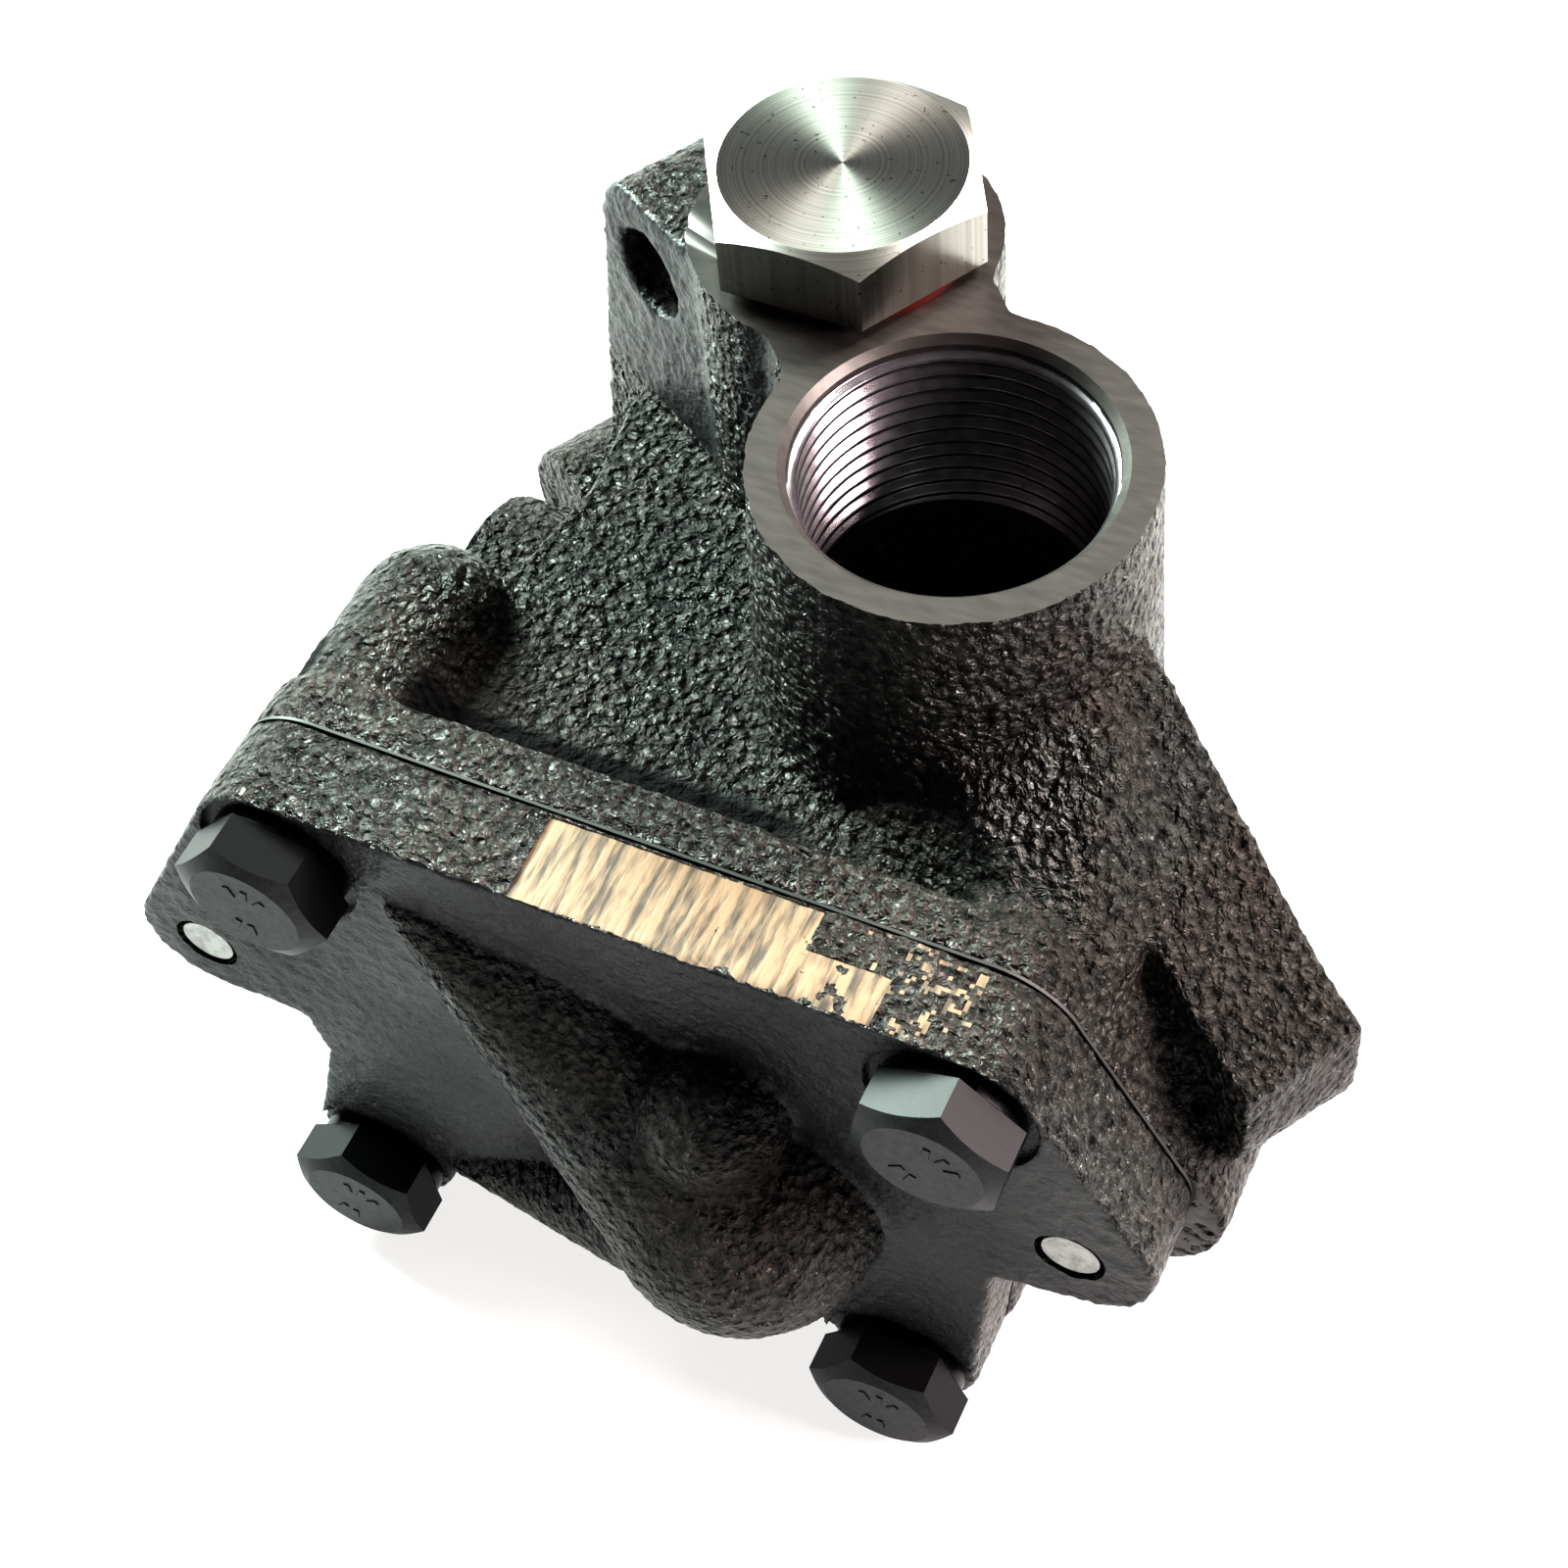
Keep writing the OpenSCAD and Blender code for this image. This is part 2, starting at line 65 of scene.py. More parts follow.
# ---------------------------------------------------------------------------------------
# Pump body: a grey iron sand casting with its bosses, both ports and the turned flange in
# one piece. The joint face, port faces, bores and threads are machined after casting.
# ---------------------------------------------------------------------------------------
MM = 0.001
SHAFT_X = 17.5
DRIVE_END_Y = 62.0
FLANGE_TURN = math.radians(31.3)
FLANGE_FRONT = 40.6
FLANGE_BACK = 57.1
TAPPED_DEPTH = 13.0
PORT_FACE_Z = 73.2
SUCTION = (21.7, 41.1)
VALVE = (-3.1, 68.7)
THREAD_CREST_R = 17.0
THREAD_ROOT_R = 18.0
THREAD_BOTTOM_Z = 47.2
THREAD_PITCH = 2.2
DELIVERY_FACE_X = -49.0
DELIVERY_YZ = (48.0, 6.0)


def at(x, y, z):
    """A point in pump coordinates: X from midway between the gears, Y from the joint face,
    Z from the shafts, all in millimetres."""
    return Vector((x - SHAFT_X, y - DRIVE_END_Y, z)) * MM


def on_flange(s, z, t):
    """A point on the flange: s along it, z up and t through it, in millimetres."""
    c, n = math.cos(FLANGE_TURN), math.sin(FLANGE_TURN)
    return at(s * c + t * n, t * c - s * n, z)


def new_piece(name, bm):
    mesh = bpy.data.meshes.new(name)
    bm.to_mesh(mesh)
    bm.free()
    piece = bpy.data.objects.new(name, mesh)
    bpy.context.scene.collection.objects.link(piece)
    return piece


def turned(name, start, end, r_start, r_end=None, sides=96):
    """A round bar or cone between two points, with its radii in millimetres."""
    axis = end - start
    bm = bmesh.new()
    bmesh.ops.create_cone(bm, cap_ends=True, segments=sides, radius1=r_start * MM,
                          radius2=(r_start if r_end is None else r_end) * MM, depth=axis.length)
    turn = axis.to_track_quat("Z", "Y").to_matrix().to_4x4()
    bm.transform(Matrix.Translation((start + end) / 2) @ turn)
    return new_piece(name, bm)


def block(name, low, high):
    """A rectangular block between two corners."""
    bm = bmesh.new()
    bmesh.ops.create_cube(bm, size=1.0)
    size = high - low
    bm.transform(Matrix.Translation((low + high) / 2) @ Matrix.Diagonal((*size, 1.0)))
    return new_piece(name, bm)


def ball(name, centre, radius):
    """A round lump, with its radius in millimetres."""
    bm = bmesh.new()
    bmesh.ops.create_icosphere(bm, subdivisions=4, radius=radius * MM)
    bm.transform(Matrix.Translation(centre))
    return new_piece(name, bm)


def freeze(piece):
    """Turns the modifiers into plain mesh."""
    graph = bpy.context.evaluated_depsgraph_get()
    mesh = bpy.data.meshes.new_from_object(piece.evaluated_get(graph))
    piece.modifiers.clear()
    piece.data = mesh
    return piece


def poured(name, node, stock, grain):
    """The rough casting: the solid and its machining stock fused into one even skin."""
    bm = bmesh.new()
    bm.from_mesh(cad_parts[node].data)
    for extra in stock:
        bm.from_mesh(extra.data)
        bpy.data.objects.remove(extra)
    piece = new_piece(name, bm)
    skin = piece.modifiers.new("one skin", "REMESH")
    skin.mode = "VOXEL"
    skin.voxel_size = grain * MM
    return freeze(piece)


def soften(piece, passes, rounding):
    """Fills inside corners with fillets and rounds the outside corners a little."""
    mesh = piece.data
    n = len(mesh.vertices)
    co, ends = np.empty(n * 3), np.empty(len(mesh.edges) * 2, np.int32)
    mesh.vertices.foreach_get("co", co)
    mesh.edges.foreach_get("vertices", ends)
    co, a, b = co.reshape(-1, 3), ends[0::2], ends[1::2]
    count = (np.bincount(a, minlength=n) + np.bincount(b, minlength=n))[:, None]
    normal = np.empty(n * 3)
    for i in range(passes):
        if i % 6 == 0:
            mesh.vertices.foreach_set("co", co.ravel())
            mesh.update()
            mesh.vertex_normals.foreach_get("vector", normal)
            outward = normal.reshape(-1, 3)
        pull = np.stack([np.bincount(a, co[b, k], n) + np.bincount(b, co[a, k], n)
                         for k in range(3)], 1) / count - co
        hollow = (pull * outward).sum(1) > 0
        co += pull * np.where(hollow, 0.5, 0.5 * rounding)[:, None]
    mesh.vertices.foreach_set("co", co.ravel())
    mesh.update()


def roughen(piece, name, kind, size, height):
    """Raises and sinks the casting's skin as the sand grains of the mould did."""
    sand = bpy.data.textures.new(name, kind)
    sand.noise_scale = size * MM
    lumps = piece.modifiers.new(name, "DISPLACE")
    lumps.texture = sand
    lumps.texture_coords = "LOCAL"
    lumps.strength = height * MM
    lumps.mid_level = 0.5


def machine(piece, tools):
    """Cuts the tools' shapes out of the piece and removes the tools."""
    for tool in tools:
        cut = piece.modifiers.new("cut", "BOOLEAN")
        cut.operation = "DIFFERENCE"
        cut.solver = "MANIFOLD"
        cut.object = tool
    freeze(piece)
    for tool in tools:
        bpy.data.objects.remove(tool)


def finish_faces(piece, materials, where, crease=38):
    """Gives each face its material by where(centres, normals), and smooths all but the
    sharp edges."""
    mesh = piece.data
    mesh.materials.clear()
    for material in materials:
        mesh.materials.append(material)
    n = len(mesh.polygons)
    centre, normal = np.empty(n * 3), np.empty(n * 3)
    mesh.polygons.foreach_get("center", centre)
    mesh.polygons.foreach_get("normal", normal)
    local = centre.reshape(-1, 3) / MM + np.array([SHAFT_X, DRIVE_END_Y, 0.0])
    mesh.polygons.foreach_set("material_index", where(local, normal.reshape(-1, 3)))
    mesh.polygons.foreach_set("use_smooth", np.ones(n, bool))
    mesh.update()
    mesh.set_sharp_from_angle(angle=math.radians(crease))


def node(tree, kind, inputs=None, **settings):
    """Adds a shader node, with its settings and its inputs by name or number."""
    made = tree.nodes.new(kind)
    for key, value in settings.items():
        setattr(made, key, value)
    for key, value in (inputs or {}).items():
        if isinstance(value, bpy.types.NodeSocket):
            tree.links.new(value, made.inputs[key])
        else:
            made.inputs[key].default_value = value
    return made


def new_group(name, inputs, outputs):
    """An empty shader node group with named sockets, and its input and output nodes."""
    group = bpy.data.node_groups.new(name, "ShaderNodeTree")
    for key, (kind, value) in inputs.items():
        socket = group.interface.new_socket(key, in_out="INPUT", socket_type=kind)
        if value is not None:
            socket.default_value = value
    for key, kind in outputs.items():
        group.interface.new_socket(key, in_out="OUTPUT", socket_type=kind)
    return group, node(group, "NodeGroupInput"), node(group, "NodeGroupOutput")


def new_material(name, metallic, roughness, **fixed):
    """A material with its Principled shader; fixed values go on the shader's own sockets."""
    material = bpy.data.materials.new(name)
    material.use_nodes = True
    tree = material.node_tree
    shader = tree.nodes["Principled BSDF"]
    shader.inputs["Metallic"].default_value = metallic
    shader.inputs["Roughness"].default_value = roughness
    for key, value in fixed.items():
        shader.inputs[key].default_value = value
    where = node(tree, "ShaderNodeTexCoord").outputs["Object"]
    return material, tree, shader, where


# Sand cast skin, shared by body and cover: grains about a millimetre wide, with pits
# between them and slow changes of tone from oil and handling.
cast_skin, skin_in, skin_out = new_group(
    "cast skin",
    {"Where": ("NodeSocketVector", None), "Grain Size": ("NodeSocketFloat", 1.2),
     "Pits": ("NodeSocketFloat", 0.5)},
    {"Height": "NodeSocketFloat", "Tone": "NodeSocketFloat", "Stain": "NodeSocketFloat"})
per_metre = node(cast_skin, "ShaderNodeMath", {0: 1000.0, 1: skin_in.outputs["Grain Size"]},
                 operation="DIVIDE").outputs[0]
grains = node(cast_skin, "ShaderNodeTexNoise",
              {"Vector": skin_in.outputs["Where"], "Scale": per_metre, "Detail": 3.0,
               "Roughness": 0.62, "Distortion": 0.9}).outputs["Fac"]
lumps = node(cast_skin, "ShaderNodeTexVoronoi",
             {"Vector": skin_in.outputs["Where"], "Scale": per_metre, "Randomness": 1.0},
             feature="SMOOTH_F1").outputs["Distance"]
holes = node(cast_skin, "ShaderNodeTexNoise",
             {"Vector": skin_in.outputs["Where"], "Scale": 420.0, "Detail": 2.0}).outputs["Fac"]
hole_mask = node(cast_skin, "ShaderNodeMapRange",
                 {"Value": holes, "From Min": 0.62, "From Max": 0.72, "To Max": 1.0},
                 ).outputs[0]
sunk = node(cast_skin, "ShaderNodeMath", {0: hole_mask, 1: skin_in.outputs["Pits"]},
            operation="MULTIPLY").outputs[0]
grain_mix = node(cast_skin, "ShaderNodeMath", {0: grains, 1: lumps},
                 operation="SUBTRACT").outputs[0]
height = node(cast_skin, "ShaderNodeMath", {0: grain_mix, 1: sunk}, operation="SUBTRACT").outputs[0]
cast_skin.links.new(height, skin_out.inputs["Height"])
tone = node(cast_skin, "ShaderNodeMapRange",
            {"Value": grain_mix, "From Min": -0.25, "From Max": 0.35}).outputs[0]
cast_skin.links.new(tone, skin_out.inputs["Tone"])
cloud = node(cast_skin, "ShaderNodeTexNoise",
             {"Vector": skin_in.outputs["Where"], "Scale": 38.0, "Detail": 4.0,
              "Roughness": 0.6}).outputs["Fac"]
stain = node(cast_skin, "ShaderNodeMapRange", {"Value": cloud, "From Min": 0.35, "From Max": 0.68})
cast_skin.links.new(stain.outputs[0], skin_out.inputs["Stain"])


def iron_material(name, grain_size, pits, dark, light, warm, gloss, bump):
    """Oiled cast iron: near black between the grains, grey on top of them."""
    material, tree, shader, where = new_material(name, 0.25, 0.4)
    shader.inputs["Specular IOR Level"].default_value = 0.35
    skin = node(tree, "ShaderNodeGroup", node_tree=cast_skin)
    tree.links.new(where, skin.inputs["Where"])
    skin.inputs["Grain Size"].default_value = grain_size
    skin.inputs["Pits"].default_value = pits
    grey = node(tree, "ShaderNodeMix", {0: skin.outputs["Tone"], 6: dark, 7: light},
                data_type="RGBA").outputs[2]
    tinted = node(tree, "ShaderNodeMix", {0: skin.outputs["Stain"], 6: grey, 7: warm},
                  data_type="RGBA", blend_type="MULTIPLY").outputs[2]
    tree.links.new(tinted, shader.inputs["Base Color"])
    shine = node(tree, "ShaderNodeMapRange",
                 {"Value": skin.outputs["Stain"], "To Min": gloss,
                  "To Max": gloss + 0.16}).outputs[0]
    tree.links.new(shine, shader.inputs["Roughness"])
    relief = node(tree, "ShaderNodeBump", {"Strength": 1.0, "Distance": bump * MM,
                                           "Height": skin.outputs["Height"]}).outputs[0]
    tree.links.new(relief, shader.inputs["Normal"])
    return material


rough_iron = iron_material("rough cast iron", 1.15, 0.5, (0.003, 0.0032, 0.003, 1),
                           (0.05, 0.052, 0.049, 1), (0.85, 0.66, 0.6, 1), 0.24, 1.8)
# Painted shade in the corner behind the lip of the joint: a dark band on the case that stands
# in for the shadow the lip casts there, with its bounds in metres from the shaft end.
LIP_BACK_Y = -0.0562
SHADE_FULL_Y = -0.0488
SHADE_END_Y = -0.0462
LIP_FOOT_Z = 0.0425
LIP_TOP_Z = 0.0435
CASE_LOW_Z = 0.03
rough_tree = rough_iron.node_tree
rough_shader = rough_tree.nodes["Principled BSDF"]
place = node(rough_tree, "ShaderNodeSeparateXYZ",
             {0: node(rough_tree, "ShaderNodeTexCoord").outputs["Object"]}).outputs
behind_lip = node(rough_tree, "ShaderNodeMapRange",
                  {"Value": place["Y"], "From Min": SHADE_FULL_Y, "From Max": SHADE_END_Y,
                   "To Min": 1.0, "To Max": 0.0}).outputs[0]
in_body = node(rough_tree, "ShaderNodeMath", {0: place["Y"], 1: LIP_BACK_Y},
               operation="GREATER_THAN").outputs[0]
below_lip = node(rough_tree, "ShaderNodeMapRange",
                 {"Value": place["Z"], "From Min": LIP_FOOT_Z, "From Max": LIP_TOP_Z,
                  "To Min": 1.0, "To Max": 0.0}).outputs[0]
on_top = node(rough_tree, "ShaderNodeMath", {0: place["Z"], 1: CASE_LOW_Z},
              operation="GREATER_THAN").outputs[0]
fades = node(rough_tree, "ShaderNodeMapRange",
             {"Value": place["X"], "From Min": -0.006, "From Max": 0.004,
              "To Min": 1.0, "To Max": 0.0}).outputs[0]
# Painted shade: this mask darkens the base colour to near black behind the lip and raises the
# roughness there.
painted_shade = behind_lip
for part in (in_body, below_lip, on_top, fades):
    painted_shade = node(rough_tree, "ShaderNodeMath", {0: painted_shade, 1: part}, operation="MULTIPLY").outputs[0]
unshaded_colour = rough_shader.inputs["Base Color"].links[0].from_socket
shaded_colour = node(rough_tree, "ShaderNodeMix", {0: painted_shade, 6: unshaded_colour, 7: (0.001, 0.001, 0.001, 1)},
             data_type="RGBA").outputs[2]
rough_tree.links.new(shaded_colour, rough_shader.inputs["Base Color"])
skin_roughness = rough_shader.inputs["Roughness"].links[0].from_socket
dull = node(rough_tree, "ShaderNodeMath", {0: skin_roughness, 1: painted_shade}, operation="MAXIMUM").outputs[0]
rough_tree.links.new(dull, rough_shader.inputs["Roughness"])
smooth_iron = iron_material("skimmed iron", 0.55, 0.35, (0.012, 0.0125, 0.013, 1),
                            (0.04, 0.041, 0.043, 1), (0.75, 0.75, 0.76, 1), 0.36, 0.12)

# Milled faces: fine straight cutter lines in grey iron.
milled_iron, milled_tree, milled_shader, milled_where = new_material("milled iron", 0.55, 0.42)
lines = node(milled_tree, "ShaderNodeTexNoise",
             {"Vector": node(milled_tree, "ShaderNodeMapping",
                             {"Vector": milled_where, "Scale": (0.25, 1.0, 1.0)}).outputs[0],
              "Scale": 900.0, "Detail": 3.0}).outputs["Fac"]
milled_tone = node(milled_tree, "ShaderNodeValToRGB", {"Fac": lines})
milled_tone.color_ramp.elements[0].color = (0.022, 0.02, 0.019, 1)
milled_tone.color_ramp.elements[1].color = (0.07, 0.063, 0.06, 1)
milled_tree.links.new(milled_tone.outputs["Color"], milled_shader.inputs["Base Color"])
milled_tree.links.new(node(milled_tree, "ShaderNodeBump",
                           {"Strength": 0.35, "Distance": 0.02 * MM, "Height": lines}).outputs[0],
                      milled_shader.inputs["Normal"])

port_stock = [
    turned("stock", at(*SUCTION, 60), at(*SUCTION, PORT_FACE_Z + 2), 22.4),
    turned("stock", at(*VALVE, 60), at(*VALVE, PORT_FACE_Z + 2), 18.0),
    turned("stock", at(*VALVE, 16), at(*VALVE, PORT_FACE_Z + 1), 12.5),
    turned("stock", at(*SUCTION, 40), at(*SUCTION, PORT_FACE_Z + 1), 18.5),
    turned("stock", at(SHAFT_X, 50, 0), at(SHAFT_X, DRIVE_END_Y + 2, 0), 20.0),
    turned("stock", at(DELIVERY_FACE_X - 2, *DELIVERY_YZ), at(-40, *DELIVERY_YZ), 17.0),
    turned("stock", at(52, 10, 32), at(62, 9, 19), 4.2),
]
web = bmesh.new()
across = (Vector(SUCTION) - Vector(VALVE)).orthogonal().normalized() * 13
corners = [Vector(VALVE) + across, Vector(VALVE) - across, Vector(SUCTION) - across,
           Vector(SUCTION) + across]
floor_of_web = web.faces.new([web.verts.new(at(*c, 60)) for c in corners])
raised = bmesh.ops.extrude_face_region(web, geom=[floor_of_web])
bmesh.ops.translate(web, verts=[v for v in raised["geom"] if isinstance(v, bmesh.types.BMVert)],
                    vec=(0, 0, (PORT_FACE_Z + 2 - 60) * MM))
bmesh.ops.recalc_face_normals(web, faces=web.faces)
port_stock.append(new_piece("stock", web))

BODY_GRAIN = 0.55
body = poured("body_casting", "pump_body", port_stock, BODY_GRAIN)
soften(body, 16, 0.5)
roughen(body, "sand lumps", "CLOUDS", 3.2, 0.35)
roughen(body, "sand grains", "CLOUDS", 1.2, 0.5)
freeze(body)

machine(body, [
    block("cutter", at(-70, -20, PORT_FACE_Z), at(70, 120, PORT_FACE_Z + 9)),
    block("cutter", at(-90, -20, -60), at(90, 0.42, 90)),
    turned("cutter", at(SHAFT_X, DRIVE_END_Y, 0), at(SHAFT_X, DRIVE_END_Y + 5, 0), 24),
    turned("cutter", at(DELIVERY_FACE_X - 6, *DELIVERY_YZ), at(DELIVERY_FACE_X, *DELIVERY_YZ), 21),
    turned("cutter", at(*SUCTION, THREAD_BOTTOM_Z), at(*SUCTION, 72.3), THREAD_ROOT_R),
    turned("cutter", at(*SUCTION, 71.3), at(*SUCTION, 73.3), 17.0, 19.0),
    turned("cutter", at(*SUCTION, 23.2), at(*SUCTION, THREAD_BOTTOM_Z + 1), 15.8),
    turned("cutter", at(*VALVE, 14), at(*VALVE, 60), 9.12),
    turned("cutter", at(*VALVE, 57.2), at(*VALVE, 75), 12.02),
    turned("cutter", at(DELIVERY_FACE_X - 1, *DELIVERY_YZ),
           at(DELIVERY_FACE_X + 14, *DELIVERY_YZ), 10),
    turned("cutter", at(DELIVERY_FACE_X, *DELIVERY_YZ), at(VALVE[0], *DELIVERY_YZ), 5.5),
    turned("cutter", at(SHAFT_X, 49, 0), at(SHAFT_X, 64, 0), 15.02),
    turned("cutter", at(SHAFT_X, 20, 0), at(SHAFT_X, 64, 0), 8.02),
    turned("cutter", at(SHAFT_X, 0, 0), at(SHAFT_X, 20.5, 0), 21.0),
    turned("cutter", at(-SHAFT_X, 0, 0), at(-SHAFT_X, 20.5, 0), 21.0),
    turned("cutter", at(SHAFT_X, 20, 0), at(SHAFT_X, 36.5, 0), 10.02),
    turned("cutter", at(-SHAFT_X, 20, 0), at(-SHAFT_X, 36.5, 0), 10.02),
    turned("cutter", at(-SHAFT_X, 20, 0), at(-SHAFT_X, 39.5, 0), 8.02),
    turned("cutter", at(SHAFT_X, DRIVE_END_Y, 0), at(SHAFT_X, 100, 0), 13.1),
    turned("cutter", on_flange(-56.7, 62, 30), on_flange(-56.7, 62, 70), 5.75),
    turned("cutter", on_flange(47.5, 19, FLANGE_BACK - TAPPED_DEPTH),
           on_flange(47.5, 19, FLANGE_BACK + 3), 5.0),
    turned("cutter", on_flange(-72, 8, FLANGE_BACK - TAPPED_DEPTH),
           on_flange(-72, 8, FLANGE_BACK + 3), 5.0),
])


def body_faces(c, n):
    """Milled where a cutter passed: port face, bores, seal seat, joint face and drive end."""
    kind = np.zeros(len(c), np.int32)
    flat_top = (n[:, 2] > 0.98) & (abs(c[:, 2] - PORT_FACE_Z) < 0.02)
    joint = (n[:, 1] < -0.98) & (c[:, 1] < 0.45)
    in_suction = (np.hypot(c[:, 0] - SUCTION[0], c[:, 1] - SUCTION[1]) < 19.1) & (c[:, 2] > 23)
    drive_end = np.hypot(c[:, 0] - SHAFT_X, c[:, 2]) < 15.1
    delivery = (n[:, 0] < -0.98) & (abs(c[:, 0] - DELIVERY_FACE_X) < 0.05)
    port_wall = in_suction & (c[:, 2] > 40)
    seal_seat = drive_end & (c[:, 1] > 40)
    kind[flat_top | joint | delivery | port_wall | seal_seat] = 1
    through = c[:, 0] * math.sin(FLANGE_TURN) + c[:, 1] * math.cos(FLANGE_TURN)
    ear_front = abs(through - FLANGE_FRONT) < 0.8
    faces_back = n[:, 0] * math.sin(FLANGE_TURN) + n[:, 1] * math.cos(FLANGE_TURN) > 0.8
    kind[(ear_front & (c[:, 2] > 40) & (c[:, 0] < 0))
         | (faces_back & (abs(through - FLANGE_BACK) < 0.8))] = 2
    return kind


finish_faces(body, [rough_iron, milled_iron, smooth_iron], body_faces)
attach(body, "housing")
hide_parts("pump_body")

# ---------------------------------------------------------------------------------------
# Suction thread: the pipe thread cut in the wall of the suction port, about twelve turns
# from the chamfer down to the plain bore. It is part of the body, shown on its own.
# ---------------------------------------------------------------------------------------
thread_top_z = 71.9
turn_steps, height_steps = 144, 200
bm = bmesh.new()
rows = []
for j in range(height_steps + 1):
    z = THREAD_BOTTOM_Z + (thread_top_z - THREAD_BOTTOM_Z) * j / height_steps
    row = []
    for i in range(turn_steps):
        phase = (z / THREAD_PITCH + i / turn_steps) % 1.0
        depth = min(1.0, max(0.0, abs(phase - 0.5) * 2.6 - 0.25))
        run_out = max(0.0, z - 70.9)
        r = min(THREAD_ROOT_R + 0.02, THREAD_CREST_R + depth * 0.9 + run_out)
        a = 2 * math.pi * i / turn_steps
        row.append(bm.verts.new(at(SUCTION[0] + r * math.cos(a), SUCTION[1] + r * math.sin(a), z)))
    rows.append(row)
for low_row, high_row in zip(rows, rows[1:]):
    for i in range(turn_steps):
        k = (i + 1) % turn_steps
        bm.faces.new((low_row[i], high_row[i], high_row[k], low_row[k]))
thread = new_piece("suction_thread", bm)

thread_steel, thread_tree, thread_shader, thread_where = new_material("cut thread", 0.9, 0.25)
cut_marks = node(thread_tree, "ShaderNodeTexNoise",
                 {"Vector": thread_where, "Scale": 600.0, "Detail": 3.0}).outputs["Fac"]
thread_tone = node(thread_tree, "ShaderNodeValToRGB", {"Fac": cut_marks})
thread_tone.color_ramp.elements[0].color = (0.06, 0.055, 0.06, 1)
thread_tone.color_ramp.elements[1].color = (0.3, 0.28, 0.3, 1)
thread_tree.links.new(thread_tone.outputs["Color"], thread_shader.inputs["Base Color"])
finish_faces(thread, [thread_steel], lambda c, n: np.zeros(len(c), np.int32), crease=60)
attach(thread, "housing")

# ---------------------------------------------------------------------------------------
# Front cover: its own iron casting with the bearing dome and a raised oil gallery. It is
# ground on the back, drilled for dowels and bolts, and spot faced under the washers.
# ---------------------------------------------------------------------------------------
BOLTS = ((-40.0, 35.0), (43.0, 34.5), (-40.0, -34.5), (35.0, -34.0))
DOWELS = ((-56.5, 8.0), (57.0, 11.3))
BOLT_SEAT_Y = -10.8
GROUND_Z = 45.5
COVER_GRAIN = 0.5
DOME_BOSS = (15, -15, 19)
DOME_BOSS_R = 9

cover = poured("cover_casting", "front_cover",
               [turned("stock", at(x, -11.5, z), at(x, -1, z), 5) for x, z in BOLTS + DOWELS]
               + [block("stock", at(-38, -2, 2), at(40, 1.0, 40)),
                  ball("stock", at(*DOME_BOSS), DOME_BOSS_R)], COVER_GRAIN)
soften(cover, 12, 0.5)
roughen(cover, "cover lumps", "CLOUDS", 3.0, 0.3)
roughen(cover, "cover grains", "CLOUDS", 1.2, 0.45)
freeze(cover)
machine(cover, [block("cutter", at(-90, -0.02, -60), at(90, 9, 60)),
                block("cutter", at(-9, -14, GROUND_Z), at(24, -0.6, 50)),
                block("cutter", at(23, -14, GROUND_Z), at(34, -5.5, 50))]
        + [turned("cutter", at(x, -24, z), at(x, BOLT_SEAT_Y, z), 10.2) for x, z in BOLTS]
        + [turned("cutter", at(x, -24, z), at(x, 1, z), 5.5) for x, z in BOLTS]
        + [turned("cutter", at(x, -24, z), at(x, -8, z), 4.25) for x, z in DOWELS]
        + [turned("cutter", at(x, -9, z), at(x, 1, z), 3.52) for x, z in DOWELS]
        + [turned("cutter", at(SHAFT_X, -20, 0), at(SHAFT_X, 1, 0), 10.02),
           turned("cutter", at(-SHAFT_X, -9, 0), at(-SHAFT_X, 1, 0), 10.02)])


def cover_faces(c, n):
    """Ground where the cutter passed, smoother on the plate face, pale on the ground patch."""
    kind = np.zeros(len(c), np.int32)
    kind[(n[:, 1] < -0.6) & (c[:, 1] > -12.6) & (c[:, 1] < -11.3)] = 1
    kind[(n[:, 1] < -0.98) & (abs(c[:, 1] - BOLT_SEAT_Y) < 0.05)] = 1
    kind[(n[:, 1] > 0.98) & (c[:, 1] > -0.1)] = 2
    kind[(n[:, 2] > 0.98) & (abs(c[:, 2] - GROUND_Z) < 0.02) & (c[:, 1] < 0)] = 3
    return kind


# Ground patch on the top edge: dry bare iron with a tan bloom and deep marks of the disc.
bare_iron, bare_tree, bare_shader, bare_where = new_material("ground patch", 0.1, 0.55)
disc_marks = node(bare_tree, "ShaderNodeTexNoise",
                  {"Vector": node(bare_tree, "ShaderNodeMapping",
                                  {"Vector": bare_where, "Scale": (1.0, 0.13, 1.0),
                                   "Rotation": (0, 0, math.radians(6))}).outputs[0],
                   "Scale": 950.0, "Detail": 3.5, "Roughness": 0.6}).outputs["Fac"]
bare_tone = node(bare_tree, "ShaderNodeValToRGB", {"Fac": disc_marks})
bare_tone.color_ramp.elements[0].position = 0.36
bare_tone.color_ramp.elements[0].color = (0.035, 0.024, 0.016, 1)
bare_tone.color_ramp.elements[1].position = 0.56
bare_tone.color_ramp.elements[1].color = (0.17, 0.115, 0.07, 1)
bare_tree.links.new(bare_tone.outputs["Color"], bare_shader.inputs["Base Color"])
bare_tree.links.new(node(bare_tree, "ShaderNodeBump",
                         {"Strength": 0.8, "Distance": 0.15 * MM, "Height": disc_marks}).outputs[0],
                    bare_shader.inputs["Normal"])
finish_faces(cover, [rough_iron, smooth_iron, milled_iron, bare_iron], cover_faces)
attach(cover, "housing")
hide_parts("front_cover")

# ---------------------------------------------------------------------------------------
# Cover gasket: thin oiled black sheet between the cover and the body. It shows as the dark
# line that runs round the joint.
# ---------------------------------------------------------------------------------------
gasket_black, _, _, _ = new_material("gasket sheet", 0.0, 0.6,
                                     **{"Base Color": (0.006, 0.006, 0.006, 1)})


